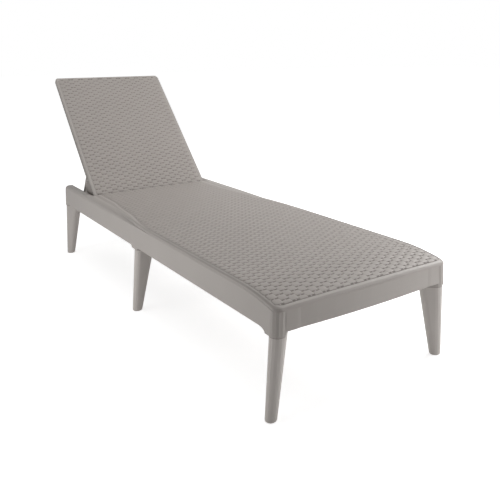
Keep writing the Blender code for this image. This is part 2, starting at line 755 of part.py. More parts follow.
def build_side_rail(side, hand):
    """Side rail: ribbed channel with a socket for each leg and a crest beside the backrest."""
    rings = [[(side * x, y, z) for x, z in rail_section(y)] for y in rail_stations()]
    rail = add_piece("side_rail_" + hand, loft_mesh(rings), FRAME, colour=TAUPE)
    ends = add_tool("rail_ends_" + hand, rail_walls_mesh(side), FRAME)
    join(rail, ends)
    sites = [site for site in leg_sites() if site[1] == side]
    for name, _, centre, inward, _ in sites:
        block = socket_mesh(name, side, centre, inward, 0.0)
        join(rail, add_tool("socket_" + name, block, FRAME))
    join(rail, add_tool("rest_lug_" + hand, rest_lug_mesh(side), FRAME))
    for name, _, centre, inward, _ in sites:
        pocket = [stadium(centre, inward, LEG_TOP_SPREAD, TENON_RADIUS + FIT_GAP, z)
                  for z in (SOCKET_BOTTOM - OVERRUN, SOCKET_BOTTOM + TENON_HEIGHT + FIT_GAP)]
        cut(rail, add_tool("pocket_" + name, loft_mesh(pocket), FRAME))
        cut(rail, screw_hole(name, centre, inward))
    x_low, x_high = sorted((side * (RAIL_INNER_X - OVERRUN), side * (RAIL_INNER_X + WALL + OVERRUN)))
    bore = cross_rod_mesh(HINGE_PIN_RADIUS + PIN_CLEARANCE, x_low, x_high, HINGE_Y, HINGE_Z)
    cut(rail, add_tool("rail_bore_" + hand, bore, FRAME))


def socket_mesh(name, side, centre, inward, clearance):
    """The round-ended block that holds a leg's tenon, as a solid to join or, grown, to cut."""
    radius = SOCKET_RADIUS - SOCKET_FACE_INSET + clearance
    top = SOCKET_TOP
    if name.startswith("front"):
        top = deck_rim_bottom(0.0) - SOCKET_DECK_GAP
    if clearance:
        top += OVERRUN
    shoulder = SOCKET_BOTTOM + SOCKET_TAPER_HEIGHT
    rings = []
    for z, ring_radius in ((SOCKET_BOTTOM, radius - SOCKET_TAPER), (shoulder, radius), (top, radius)):
        lean = RAIL_FLARE - min(rail_lean(z), RAIL_FLARE)
        middle = centre - Vector((side * lean, 0.0))
        rings.append(stadium(middle, inward, LEG_TOP_SPREAD, ring_radius, z))
    return loft_mesh(rings)


def rail_walls_mesh(side):
    """Cross ribs in the channel, and the wall that closes the rail's head end."""
    pairs = []
    inner = RAIL_INNER_X + WALL / 2
    outer = HALF_WIDTH - WALL / 2
    low = RAIL_BOTTOM + WALL
    high = deck_rim_bottom(DECK_DROP_LENGTH) - DECK_RIB_DROP
    pitch = FRAME_LENGTH * RIB_SPACING_SHARE
    y = DECK_DROP_LENGTH
    while y < HINGE_Y - pitch / 2:
        if abs(y - MID_LEG_Y) > SOCKET_RADIUS + WALL:
            pairs.append((y, y + DECK_RIB, low, high, inner, outer))
        y += pitch
    y = HINGE_Y + pitch / 2
    while y < FRAME_LENGTH - POST_BLEND_END:
        pairs.append((y, y + DECK_RIB, low, CREST_HEIGHT - CREST_RIB_DROP, inner, outer))
        y += pitch
    head = FRAME_LENGTH - END_FACE_INSET - SOCKET_RADIUS
    end = head + SOCKET_RADIUS * math.sin(math.radians(END_WALL_ANGLE))
    pairs.append((end - WALL, end, low, CREST_HEIGHT - END_WALL_DROP, inner,
                  outer - SOCKET_RADIUS * END_WALL_WIDTH_SHARE))
    corners = []
    for y_low, y_high, z_low, z_high, near, far in pairs:
        x_low, x_high = sorted((side * near, side * far))
        corners.append(((x_low, y_low, z_low), (x_high, y_high, z_high)))
    return box_mesh(*corners)


def rest_lug_mesh(side):
    """A lug inside the rail that the flat backrest comes down on."""
    y = HINGE_Y + LUG_S
    slope = (BACK_REAR_TOP - BACK_REAR_LOW) / BACK_LENGTH
    top = HINGE_Z + BACK_REAR_LOW + slope * LUG_S - LUG_CLEARANCE
    x_low, x_high = sorted((side * (RAIL_INNER_X - LUG_DEPTH), side * (RAIL_INNER_X + WALL / 2)))
    return box_mesh(((x_low, y, top - LUG_HEIGHT), (x_high, y + LUG_LENGTH, top)))


# Cross members

def apron_section(x, half):
    """Section of the apron as (Y, Z) points: an inverted channel just under the deck's rim."""
    front = APRON_RECESS - APRON_BOW * (1 - min(abs(x) / half, 1.0) ** 2)
    if abs(x) > APRON_SHOULDER_X:
        front -= APRON_SHOULDER
    back = APRON_RECESS + APRON_DEPTH
    top = deck_rim_bottom(0.0, abs(x) / DECK_HALF_FRONT) - FIT_GAP
    low = RAIL_BOTTOM - APRON_DROP
    edge = RAIL_EDGE_ROUND
    return [(front, low), (front, top - edge), (front + edge, top), (back - edge, top),
            (back, top - edge), (back, low), (back - WALL, low), (back - WALL, top - WALL),
            (front + WALL, top - WALL), (front + WALL, low)]


def build_foot_apron():
    """Foot apron: bowed front wall, open below, between the two front posts."""
    half = HALF_WIDTH - SOCKET_RADIUS * 2
    shoulder = APRON_SHOULDER_X
    outer = [shoulder * share for share in APRON_STATION_SHARES]
    outer += [shoulder + FIT_GAP, HALF_WIDTH - SOCKET_RADIUS]
    stations = [-x for x in reversed(outer)] + [0.0] + outer
    rings = [[(x, y, z) for y, z in apron_section(x, half)] for x in stations]
    apron = add_piece("foot_apron", loft_mesh(rings), FRAME, colour=TAUPE)
    for name, side, centre, inward, _ in leg_sites():
        if name.startswith("front"):
            grown = socket_mesh(name, side, centre, inward, SOCKET_FACE_INSET + FIT_GAP)
            cut(apron, add_tool("apron_end_" + name, grown, FRAME))


def build_cross_bar(name, y_low, y_high, z_low, z_high, half):
    """A cross bar: a channel, open below, with cross webs inside."""
    bar = add_piece(name, box_mesh(((-half, y_low, z_low), (half, y_high, z_high))), FRAME,
                    colour=TAUPE_DARK)
    edge = bar.modifiers.new("soft_edges", "BEVEL")
    edge.width = RAIL_EDGE_ROUND / 2
    edge.segments = 1
    edge.limit_method = "ANGLE"
    bays = max(2, round(2 * half / BAR_RIB_PITCH))
    step = (2 * half - BAR_WALL) / bays
    pockets = [((-half + BAR_WALL + step * i, y_low + BAR_WALL, z_low - OVERRUN),
                (-half + step * (i + 1), y_high - BAR_WALL, z_high - BAR_WALL))
               for i in range(bays)]
    cut(bar, add_tool(name + "_bays", box_mesh(*pockets), FRAME))
    return bar


def build_cross_bars():
    half = RAIL_INNER_X - FIT_GAP
    low = SOCKET_TOP + FIT_GAP
    high = DECK_RIB_BOTTOM - FIT_GAP
    build_cross_bar("mid_crossbar", MID_LEG_Y - BAR_WIDTH / 2, MID_LEG_Y + BAR_WIDTH / 2,
                    low, high, half)
    hinge_end = DECK_HEAD_Y - HINGE_BAR_INSET
    build_cross_bar("hinge_crossbar", hinge_end - BAR_WIDTH, hinge_end, low, high, half)
    head = FRAME_LENGTH - HEAD_BAR_INSET
    head_bar = build_cross_bar("head_crossbar", head - HEAD_BAR_WIDTH, head, RAIL_BOTTOM,
                               HEAD_BAR_TOP, half - SOCKET_RADIUS / 2)
    for name, side, centre, inward, _ in leg_sites():
        if name.startswith("rear"):
            grown = socket_mesh(name, side, centre, inward, FIT_GAP)
            cut(head_bar, add_tool("bar_end_" + name, grown, FRAME))


def build_racks():
    """Ratchet racks: notched ledges on the rails' inner walls that the prop's foot drops into."""
    tip = RACK_TOP
    notch = tip - RACK_NOTCH_DEPTH
    first = PROP_FOOT_Y - RACK_PITCH * RACK_REST_NOTCH
    last = first + RACK_PITCH * (RACK_NOTCHES - 1)
    points = [(first - RACK_START_LENGTH, RACK_BOTTOM), (first - RACK_START_LENGTH, tip)]
    ramp, floor, stop = [FOOT_BAR_RADIUS * share for share in RACK_NOTCH_SHARES]
    for index in range(RACK_NOTCHES):
        middle = first + RACK_PITCH * index
        points += [(middle - ramp, tip), (middle - floor, notch)]
        points += [(middle + floor, notch), (middle + stop, tip)]
    points += [(last + RACK_HEAD_LENGTH, tip), (last + RACK_HEAD_LENGTH, RACK_BOTTOM)]
    for side, hand in ((-1, "left"), (1, "right")):
        x_low, x_high = sorted((side * (RAIL_INNER_X - FIT_GAP - RACK_DEPTH),
                                side * (RAIL_INNER_X - FIT_GAP)))
        add_piece("ratchet_rack_" + hand, side_profile_mesh(points, x_low, x_high), FRAME,
                  colour=TAUPE_DARK)


# Backrest

def back_profile():
    """Side view of the backrest: rolled lower edge, flat face and tapering rim."""
    points = arc((0.0, 0.0), BACK_ROLL_RADIUS, 270, 90, ROLL_STEPS)
    top = BACK_LENGTH
    points += [(top - BACK_EDGE_ROUND, BACK_FACE), (top, BACK_FACE - BACK_EDGE_ROUND),
               (top, BACK_REAR_TOP)]
    points.append((BACK_FIRST_RIB, BACK_REAR_LOW))
    return points


def build_backrest_panel():
    """Backrest: ribbed moulding with a rolled hinge edge, rounded top corners and two prop ears."""
    half = BACK_WIDTH / 2
    panel = add_piece("backrest_panel", side_profile_mesh(back_profile(), -half, half), BACK)
    across = half - BACK_CORNER_RADIUS
    along = BACK_LENGTH - BACK_CORNER_RADIUS
    start = -BACK_ROLL_RADIUS - OVERRUN
    outline = [(-half, start), (half, start)]
    outline += arc((across, along), BACK_CORNER_RADIUS, 0, 90, CORNER_STEPS)
    outline += arc((-across, along), BACK_CORNER_RADIUS, 90, 180, CORNER_STEPS)
    plan = add_tool("back_plan", plan_mesh(outline, start, BACK_FACE + OVERRUN), BACK)
    combine(panel, plan, "INTERSECT")
    cut(panel, add_tool("back_pockets", back_pockets_mesh(), BACK))
    for side, hand in ((-1, "left"), (1, "right")):
        join(panel, add_tool("prop_ear_" + hand, ear_mesh(side), BACK))
    for side, hand in ((-1, "left"), (1, "right")):
        x_low, x_high = sorted((side * (half - HINGE_PIN_REACH - OVERRUN), side * (half + OVERRUN)))
        bore = cross_rod_mesh(HINGE_PIN_RADIUS + PIN_CLEARANCE, x_low, x_high)
        cut(panel, add_tool("back_bore_" + hand, bore, BACK))
        x_low, x_high = sorted((side * (EAR_OUTER_X + OVERRUN),
                                side * (EAR_OUTER_X - EAR_THICKNESS - OVERRUN)))
        hole = cross_rod_mesh(PIVOT_PIN_RADIUS + PIN_CLEARANCE, x_low, x_high,
                              PROP_PIVOT_S, PROP_PIVOT_N)
        cut(panel, add_tool("ear_hole_" + hand, hole, BACK))


def back_pockets_mesh():
    """Pockets that leave the face, the rim and a grid of ribs on the backrest's rear."""
    half = BACK_WIDTH / 2 - BACK_WALL
    inner = half - ARM_BAY - BACK_RIB
    width = (2 * inner - BACK_RIB * (BACK_RIB_COLUMNS - 1)) / BACK_RIB_COLUMNS
    columns = [(-half, -half + ARM_BAY), (half - ARM_BAY, half)]
    for index in range(BACK_RIB_COLUMNS):
        low = -inner + (width + BACK_RIB) * index
        columns.append((low, low + width))
    start = BACK_FIRST_RIB - BACK_ROLL_RADIUS / 2
    end = BACK_LENGTH - BACK_WALL - BACK_CORNER_RADIUS / 2
    length = (end - start - BACK_RIB * (BACK_RIB_ROWS - 1)) / BACK_RIB_ROWS
    deep = -BACK_ROLL_RADIUS - OVERRUN
    pairs = []
    for low, high in columns:
        for row in range(BACK_RIB_ROWS):
            y = start + row * (length + BACK_RIB)
            pairs.append(((low, y, deep), (high, y + length, BACK_FACE - BACK_WALL)))
    return box_mesh(*pairs)


def ear_mesh(side):
    """An ear behind the backrest that carries one arm of the prop."""
    points = arc((PROP_PIVOT_S, PROP_PIVOT_N), EAR_RADIUS, 180, 360, EYE_STEPS)
    top = BACK_FACE - BACK_WALL / 2
    points += [(PROP_PIVOT_S + EAR_FOOT_LENGTH / 2, BACK_REAR_LOW / 2),
               (PROP_PIVOT_S + EAR_FOOT_LENGTH / 2, top),
               (PROP_PIVOT_S - EAR_FOOT_LENGTH / 2, top),
               (PROP_PIVOT_S - EAR_FOOT_LENGTH / 2, BACK_REAR_LOW / 2)]
    x_low, x_high = sorted((side * EAR_OUTER_X, side * (EAR_OUTER_X - EAR_THICKNESS)))
    return side_profile_mesh(points, x_low, x_high)


def build_hinge_pins():
    """Hinge pins, put through the rails from inside the channel, and their spacers."""
    for side, hand in ((-1, "left"), (1, "right")):
        half = BACK_WIDTH / 2
        flange = RAIL_INNER_X + WALL + FIT_GAP
        tip = half - HINGE_PIN_REACH
        reach = flange - tip
        profile = ((0.0, reach + HINGE_FLANGE), (HINGE_FLANGE_RADIUS, reach + HINGE_FLANGE),
                   (HINGE_FLANGE_RADIUS, reach), (HINGE_PIN_RADIUS, reach),
                   (HINGE_PIN_RADIUS, PIN_CHAMFER), (HINGE_PIN_RADIUS - PIN_CHAMFER, 0.0), (0.0, 0.0))
        pin = turned_mesh(profile, (side, 0, 0), Vector((side * tip, HINGE_Y, HINGE_Z)))
        add_piece("hinge_pin_" + hand, pin, FRAME, colour=STEEL, roughness=0.35, metallic=1.0)
        x_low, x_high = sorted((side * (half + FIT_GAP), side * (RAIL_INNER_X - FIT_GAP)))
        spacer = add_piece("hinge_spacer_" + hand,
                           cross_rod_mesh(HINGE_SPACER_RADIUS, x_low, x_high, HINGE_Y, HINGE_Z),
                           FRAME, colour=TAUPE_DARK)
        hole = cross_rod_mesh(HINGE_PIN_RADIUS + PIN_CLEARANCE, x_low - OVERRUN, x_high + OVERRUN,
                              HINGE_Y, HINGE_Z)
        cut(spacer, add_tool("spacer_bore_" + hand, hole, FRAME))


# Prop

def build_prop():
    """Prop: two moulded arms on pivot pins behind the backrest and a foot bar across them."""
    for side, hand in ((-1, "left"), (1, "right")):
        build_prop_arm(side, hand)
        near = EAR_OUTER_X - EAR_THICKNESS - PIVOT_PIN_PROUD
        reach = PROP_ARM_X + PROP_ARM_WIDTH / 2 + FIT_GAP - near
        crown_radius = PIVOT_HEAD_RADIUS * PIVOT_CROWN_SHARES[0]
        crown_edge = reach + PIVOT_HEAD * PIVOT_CROWN_SHARES[1]
        profile = ((0.0, reach + PIVOT_HEAD), (crown_radius, reach + PIVOT_HEAD),
                   (PIVOT_HEAD_RADIUS, crown_edge), (PIVOT_HEAD_RADIUS, reach),
                   (PIVOT_PIN_RADIUS, reach), (PIVOT_PIN_RADIUS, 0.0), (0.0, 0.0))
        pin = turned_mesh(profile, (side, 0, 0), Vector((side * near, PROP_PIVOT_S, PROP_PIVOT_N)))
        add_piece("prop_pivot_pin_" + hand, pin, BACK, colour=STEEL, roughness=0.35, metallic=1.0)
    half = FOOT_BAR_LENGTH / 2
    bar = cross_rod_mesh(FOOT_BAR_RADIUS, -half, half, PROP_LENGTH, 0.0)
    add_piece("prop_foot_bar", bar, PROP, colour=TAUPE_DARK)


def build_prop_arm(side, hand):
    """One arm of the prop: round-ended, recessed on both faces, with an eye at each end."""
    points = arc((0.0, 0.0), PROP_EYE_RADIUS, 90, 270, EYE_STEPS)
    points += arc((PROP_LENGTH, 0.0), PROP_EYE_RADIUS, -90, 90, EYE_STEPS)
    x_low, x_high = sorted((side * (PROP_ARM_X - PROP_ARM_WIDTH / 2),
                            side * (PROP_ARM_X + PROP_ARM_WIDTH / 2)))
    arm = add_piece("prop_arm_" + hand, side_profile_mesh(points, x_low, x_high), PROP,
                    colour=TAUPE_DARK)
    low = PROP_RECESS_END
    high = PROP_LENGTH - PROP_RECESS_END
    depth = PROP_EYE_RADIUS * PROP_RECESS_SHARE
    recess = box_mesh(((x_low - OVERRUN, low, -depth), (x_low + PROP_RECESS, high, depth)),
                      ((x_high - PROP_RECESS, low, -depth), (x_high + OVERRUN, high, depth)))
    cut(arm, add_tool("arm_recess_" + hand, recess, PROP))
    for label, y, radius in (("pivot", 0.0, PIVOT_PIN_RADIUS + PIN_CLEARANCE),
                             ("foot", PROP_LENGTH, FOOT_BAR_RADIUS + FIT_GAP)):
        hole = cross_rod_mesh(radius, x_low - OVERRUN, x_high + OVERRUN, y, 0.0)
        cut(arm, add_tool("arm_hole_" + label + "_" + hand, hole, PROP))


clear_scene()
PIECES = new_collection("sun_lounger")
TOOLS = new_collection("cutters")
FRAME = new_empty("frame_origin", None, (0.0, -ORIGIN_Y, 0.0))
BACK = new_empty("backrest_axis", FRAME, (0.0, HINGE_Y, HINGE_Z), BACK_ANGLE)
PROP = new_empty("prop_axis", BACK, (0.0, PROP_PIVOT_S, PROP_PIVOT_N), -PROP_FOLD)

build_seat_deck()
build_side_rail(-1, "left")
build_side_rail(1, "right")
build_foot_apron()
build_cross_bars()
build_racks()
build_legs()
build_leg_screws()
build_backrest_panel()
build_hinge_pins()
build_prop()
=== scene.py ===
import math

import bpy
from mathutils import Matrix, Vector
from mathutils.bvhtree import BVHTree


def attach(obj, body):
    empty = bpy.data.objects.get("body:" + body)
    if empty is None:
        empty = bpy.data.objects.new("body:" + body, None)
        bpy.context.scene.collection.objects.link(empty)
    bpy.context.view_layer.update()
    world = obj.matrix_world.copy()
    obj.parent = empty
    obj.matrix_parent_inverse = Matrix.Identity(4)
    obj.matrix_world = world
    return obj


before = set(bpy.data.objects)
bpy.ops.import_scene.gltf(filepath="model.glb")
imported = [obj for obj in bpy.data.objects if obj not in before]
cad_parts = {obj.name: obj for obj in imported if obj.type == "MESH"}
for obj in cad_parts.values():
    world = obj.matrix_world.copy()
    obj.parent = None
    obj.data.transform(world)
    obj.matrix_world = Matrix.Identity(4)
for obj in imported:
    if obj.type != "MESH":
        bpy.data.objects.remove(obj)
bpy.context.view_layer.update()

MM = 0.001

# Where the seat's foot edge and face and the backrest's hinge lie in the shared frame.
# A place "along" the seat is counted from its foot edge, along the backrest from its hinge.
FOOT_EDGE_Y = -0.881385
SEAT_FACE_Z = 0.2935
HINGE = Vector((0.0, 0.440615, 0.2815))
BACK_TILT = math.radians(45.0)

# Where rays that look for the plastic start: off a face, above the lounger, ahead of its foot edge
RAY_LIFT = 0.05
RAY_HEIGHT = 0.5
RAY_AHEAD = 0.1

# Seat weave: one strand over, one under, pressed into the moulding
SEAT_STAKE_PITCH = 21.15 * MM
SEAT_ROW_PITCH = 11.76 * MM
SEAT_FIRST_ROW = 6.4 * MM
SEAT_FRONT_LIMIT = 13.5 * MM
SEAT_HEAD_LIMIT = 1294.0 * MM
# The foot edge's bow: how far its middle stands out, and how far up the seat the rows follow it
SEAT_FRONT_BOW = 4.5 * MM
SEAT_BOW_LENGTH = 150.0 * MM
SEAT_HALF_WIDTH = 276.0 * MM
# Half widths at places along the seat: of the woven field, of the seam between deck and rail,
# and of the face that the border may take up
SEAT_SIDE_LIMITS = ((0.0, 0.267), (0.73, 0.267), (0.80, 0.2587), (0.91, 0.241), (1.05, 0.231),
                    (1.12, 0.221), (1.31, 0.220))
LIP_SEAM = ((0.0, 0.2715), (0.745, 0.2700), (0.80, 0.2672), (0.90, 0.2592), (1.00, 0.2513),
            (1.10, 0.2480), (1.31, 0.2480))
SEAT_EDGE_LIMITS = ((0.0, 0.2707), (0.66, 0.2707), (0.80, 0.2655), (0.89, 0.2565),
                    (1.00, 0.2465), (1.12, 0.2427), (1.31, 0.2427))

# Backrest weave
BACK_STAKE_PITCH = 21.68 * MM
BACK_ROW_PITCH = 11.383 * MM
BACK_FIRST_ROW = 2.4 * MM
BACK_LOW_LIMIT = -8.0 * MM
BACK_SIDE_LIMIT = 230.0 * MM
BACK_TOP_LIMIT = 621.0 * MM
BACK_EDGE = 237.0 * MM
BACK_TOP_EDGE = 628.5 * MM

# Relief of the strands and stakes, and the open height of the pits where a strand dives
SEAT_STRAND_RISE = 1.4 * MM
BACK_STRAND_RISE = 1.8 * MM
PIT_HEIGHT = 3.4 * MM
STAKE_WIDTH = 4.8 * MM
STAKE_RISE_SHARE = 0.88
STAKE_OVERLAP = 1.2 * MM
FIELD_CORNER = 14.0 * MM
SEAT_FRONT_CREVICE = 1.5 * MM
# The back's relief gets shallower towards its top
BACK_TOP_RISE_SHARE = 0.4
# Towards a field's side the relief fades over a length, down to a least share
SIDE_FADE_LENGTH = 5 * MM
SIDE_FADE_LEAST = 0.15
# A loop that would reach less than this into its field is left out
LEAST_LOOP = 4 * MM
# A step of a loop that is shorter than this is left out
LEAST_STEP = 0.2 * MM

# Cross sections: (place across the width, height share). Shares below zero sink in the plastic.
STRAND_SECTION = ((-1.0, -0.3), (-0.96, 0.6), (-0.86, 0.95), (0.0, 1.02), (0.86, 0.95),
                  (0.96, 0.6), (1.0, -0.3))
STAKE_SECTION = ((-1.0, -0.2), (-0.6, 0.9), (0.6, 0.9), (1.0, -0.2))
# A stake's bar seen along its length: (place, height share)
STAKE_PROFILE = ((-1.0, 0.5), (0.0, 1.0), (1.0, 0.5))
# A border ends in a bead along its outer edge
BORDER_SECTION = ((0.0, -0.25), (0.1, 0.75), (0.3, 1.0), (0.5, 0.8), (0.62, 0.1), (0.72, 0.8),
                  (0.88, 1.0), (1.0, -0.2))

# Bed of the weave: it ends short of the field's sides, and a little beyond its ends
BED_LIFT = 0.3 * MM
BED_INSET = 5 * MM
BED_OVERRUN = 1 * MM
BACK_BED_START = -3 * MM
BED_STRIPS = 24
BED_STEP = 8 * MM

# Borders: their height, the seat's outer lines, and the lengths that they are drawn in.
# The seat's border fades out towards the hinge: (place along, height share).
BORDER_RISE = 0.9 * MM
BORDER_FADE = ((0.0, 1.0), (0.55, 1.0), (0.85, 0.1), (1.31, 0.1))
BORDER_EVEN = ((0.0, 1.0), (1.0, 1.0))
SEAT_FRONT_EDGE = 4.4 * MM
SEAT_SIDE_BORDER = 9 * MM
SEAT_HEAD_BORDER = 6 * MM
BORDER_STEP = 20 * MM
BORDER_SIDE_STEP = 15 * MM
# Degrees between two points of a round corner. The seat's corner at the hinge is cut by one point.
CORNER_STEP = 15
HEAD_CORNER_CUT = 1 * MM
HEAD_CORNER_RUN = 4 * MM

# Lips over the seam of deck and rail: their ends along the seat, their step, and a cross section
# as (distance from the seam, lift) with a crown in its middle
LIP_ENDS = (0.745, 1.291)
LIP_STEP = 14 * MM
LIP_SECTION = ((-5 * MM, 0.0), (-3 * MM, 0.35 * MM), (4 * MM, 0.3 * MM), (6 * MM, -0.1 * MM))
LIP_CROWN = 0.2 * MM

# Fillets at the apron's shoulders: heights, half widths, and a section as (share across, lift)
FILLET_HEIGHTS = (0.2185, 0.2665)
FILLET_STEP = 6 * MM
FILLET_ENDS = (0.2070, 0.2182)
FILLET_SECTION = ((0.0, -0.05 * MM), (0.25, 0.08 * MM), (0.75, 0.08 * MM), (1.0, -0.05 * MM))

# Flanges beside the hinge: outline as (place up the back, depth behind its face),
# section as (place across, inset), and the angle from which an edge is sharp
CHEEK_OUTLINE = ((0.015, -0.0075), (0.024, -0.027), (0.034, -0.040), (0.046, -0.050),
                 (0.058, -0.055), (0.067, -0.053), (0.073, -0.042), (0.0815, -0.0060))
CHEEK_SECTION = ((0.2345, 0.0006), (0.2351, 0.0), (0.2381, 0.0), (0.2387, 0.0006))
CHEEK_SHARP_ANGLE = math.radians(40)

# Where the legs enter the rails' sockets, and a band of painted shade that darkens the legs just
# under that joint
SOCKET_MOUTH = 206.5 * MM
SHADE_BAND_SPAN = 1.8 * MM
SHADE_BAND_COLOUR = "#8A837E"

# Polypropylene: its optics, the patches of bloom (about 140 mm across), the noise of the grain,
# the grain's bump and contrast, and how far it spreads the roughness
POLYPROPYLENE_IOR = 1.49
BLOOM = {"Scale": 7.0, "Detail": 3.0, "Roughness": 0.55}
GRAIN = {"Detail": 2.0, "Roughness": 0.6}
GRAIN_BUMP = 0.35
GRAIN_RANGE = (0.3, 0.7)
ROUGHNESS_SPREAD = (-0.05, 0.06)
# How far a face has to look sideways for the painted side shade to begin and to be full
SIDE_SHADE_FACING = (0.6, 0.9)
# Stretch of the cane lines: across the lounger, and along it
LINES_ACROSS = (0.06, 1, 1)
LINES_ALONG = (1, 0.06, 0.06)
# Zinc coat: size of its mottle, and the roughness of the coat
ZINC_MOTTLE = 1.2 * MM
ZINC_ROUGHNESS = (0.24, 0.4)

# Studio: level of the white surround, and the softboxes as
# (name, place, target, width, height, watts)
SURROUND_LEVEL = 0.03
SOFTBOXES = (
    ("softbox_overhead", (-0.6, 0.3, 3.2), (0.0, 0.0, 0.3), 2.6, 3.2, 32),
    ("softbox_head", (-0.8, 2.6, 2.4), (0.0, 0.2, 0.3), 1.6, 1.6, 5),
    ("softbox_right", (2.8, -0.2, 1.8), (0.0, 0.0, 0.25), 1.6, 1.6, 72),
    ("softbox_foot_high", (1.5, -1.2, 1.2), (0.1, -0.85, 0.25), 0.8, 0.8, 6),
    ("softbox_foot_right", (1.0, -1.9, 0.45), (0.25, -0.88, 0.2), 0.7, 0.6, 8.5),
    ("softbox_left", (-1.3, -0.1, 0.15), (-0.25, 0.0, 0.2), 1.6, 0.4, 7.2),
)
# Floor: half its side, its paint, and its glow. Seen directly it glows more with the distance
# from the middle, from a near to a far level; for light that bounces it glows faintly.
FLOOR_HALF_SIDE = 30
FLOOR_COLOUR = "#E6E6E6"
FLOOR_ROUGHNESS = 0.9
FLOOR_GLOW_DISTANCES = (1.2, 3.2)
FLOOR_GLOW_LEVELS = (0.74, 1.0)
FLOOR_BOUNCE = 0.12
WHITE = (1.0, 1.0, 1.0, 1.0)

# The photo's camera, solved from its perspective: place, yaw, pitch and roll in radians,
# and the focal length and optical centre in pixels of the photo
CAMERA_PLACE = Vector((-0.984, -1.0422 + FOOT_EDGE_Y, 0.8167))
CAMERA_TURN = (0.6041, 0.1692, -0.0121)
PHOTO_SIDE = 500
FOCAL_PIXELS = 616.6164
OPTICAL_CENTRE = (278.9067, 162.219)
SENSOR_WIDTH = 36.0


# Materials

def linear(hex_colour):
    """A linear colour from an sRGB hex value."""
    parts = [int(hex_colour[i:i + 2], 16) / 255 for i in (1, 3, 5)]
    return tuple(p / 12.92 if p <= 0.04045 else ((p + 0.055) / 1.055) ** 2.4 for p in parts) + (1.0,)


def add_node(tree, kind, settings, links):
    """Adds one node: settings are its properties or unlinked inputs, links feed its inputs.

    A mix node's inputs go by number: 0 is its share, 2 and 3 are its numbers, 6 and 7 its colours."""
    node = tree.nodes.new(kind)
    for name, value in settings.items():
        if isinstance(name, int) or name in node.inputs:
            node.inputs[name].default_value = value
        else:
            setattr(node, name, value)
    for name, source in links.items():
        tree.links.new(source, node.inputs[name])
    return node


def new_material(name):
    """A material, its node tree and its shader."""
    material = bpy.data.materials.new(name)
    material.use_nodes = True
    return material, material.node_tree, material.node_tree.nodes["Principled BSDF"]


def moulded_plastic(name, colour, worn_colour, roughness, grain_mm, grain_depth,
                    stretch=(1, 1, 1), side_shade_colour=None, shade_band_level=None):
    """Injection moulded polypropylene with its mould grain, and the chalky bloom that sun gives it.

    The grain's size and depth are in millimetres. A side colour of painted shade goes on faces that
    look straight left or right, and a band of painted shade runs round the piece at a given level."""
    material, tree, shader = new_material(name)
    place = add_node(tree, "ShaderNodeTexCoord", {}, {})
    bloom = add_node(tree, "ShaderNodeTexNoise", BLOOM, {"Vector": place.outputs["Object"]})
    tint = add_node(tree, "ShaderNodeMix",
                    {"data_type": "RGBA", 6: linear(colour), 7: linear(worn_colour)},
                    {0: bloom.outputs["Fac"]})
    along = add_node(tree, "ShaderNodeMapping", {"Scale": stretch},
                     {"Vector": place.outputs["Object"]})
    grain = add_node(tree, "ShaderNodeTexNoise", {"Scale": 1.0 / (grain_mm * MM), **GRAIN},
                     {"Vector": along.outputs["Vector"]})
    bump = add_node(tree, "ShaderNodeBump", {"Strength": GRAIN_BUMP, "Distance": grain_depth * MM},
                    {"Height": grain.outputs["Fac"]})
    gloss = add_node(tree, "ShaderNodeMapRange",
                     {"From Min": GRAIN_RANGE[0], "From Max": GRAIN_RANGE[1],
                      "To Min": roughness + ROUGHNESS_SPREAD[0],
                      "To Max": roughness + ROUGHNESS_SPREAD[1]}, {"Value": grain.outputs["Fac"]})
    # Painted shade: faces that look straight left or right are darkened towards the side colour.
    if side_shade_colour:
        facing = add_node(tree, "ShaderNodeSeparateXYZ", {}, {0: place.outputs["Normal"]})
        sideways = add_node(tree, "ShaderNodeMath", {"operation": "ABSOLUTE"},
                            {0: facing.outputs["X"]})
        share = add_node(tree, "ShaderNodeMapRange",
                         {"From Min": SIDE_SHADE_FACING[0], "From Max": SIDE_SHADE_FACING[1]},
                         {"Value": sideways.outputs[0]})
        tint = add_node(tree, "ShaderNodeMix", {"data_type": "RGBA", 7: linear(side_shade_colour)},
                        {0: share.outputs["Result"], 6: tint.outputs[2]})
    # Painted shade: a band round the piece at the given level is darkened, where shade falls under a
    # socket.
    if shade_band_level:
        spot = add_node(tree, "ShaderNodeSeparateXYZ", {}, {0: place.outputs["Object"]})
        band = add_node(tree, "ShaderNodeMath",
                        {"operation": "COMPARE", 1: shade_band_level, 2: SHADE_BAND_SPAN / 2},
                        {0: spot.outputs["Z"]})
        tint = add_node(tree, "ShaderNodeMix", {"data_type": "RGBA", 7: linear(SHADE_BAND_COLOUR)},
                        {0: band.outputs[0], 6: tint.outputs[2]})
    tree.links.new(tint.outputs[2], shader.inputs["Base Color"])
    tree.links.new(gloss.outputs["Result"], shader.inputs["Roughness"])
    tree.links.new(bump.outputs["Normal"], shader.inputs["Normal"])
    shader.inputs["IOR"].default_value = POLYPROPYLENE_IOR
    shader.inputs["Metallic"].default_value = 0.0
    return material


def zinc_plated_steel():
    """Steel with a zinc coat: a bluish satin metal, faintly mottled in tone and gloss.

    The coat's real mottle is finer than a tenth of a millimetre, so it is drawn coarser."""
    material, tree, shader = new_material("zinc_plated_steel")
    place = add_node(tree, "ShaderNodeTexCoord", {}, {})
    mottle = add_node(tree, "ShaderNodeTexNoise", {"Scale": 1.0 / ZINC_MOTTLE, "Detail": 3.0},
                      {"Vector": place.outputs["Object"]})
    tint = add_node(tree, "ShaderNodeMix",
                    {"data_type": "RGBA", 6: linear("#B4B7BA"), 7: linear("#C9CCCF")},
                    {0: mottle.outputs["Fac"]})
    gloss = add_node(tree, "ShaderNodeMapRange",
                     {"To Min": ZINC_ROUGHNESS[0], "To Max": ZINC_ROUGHNESS[1]},
                     {"Value": mottle.outputs["Fac"]})
    tree.links.new(tint.outputs[2], shader.inputs["Base Color"])
    tree.links.new(gloss.outputs["Result"], shader.inputs["Roughness"])
    shader.inputs["Metallic"].default_value = 1.0
    return material


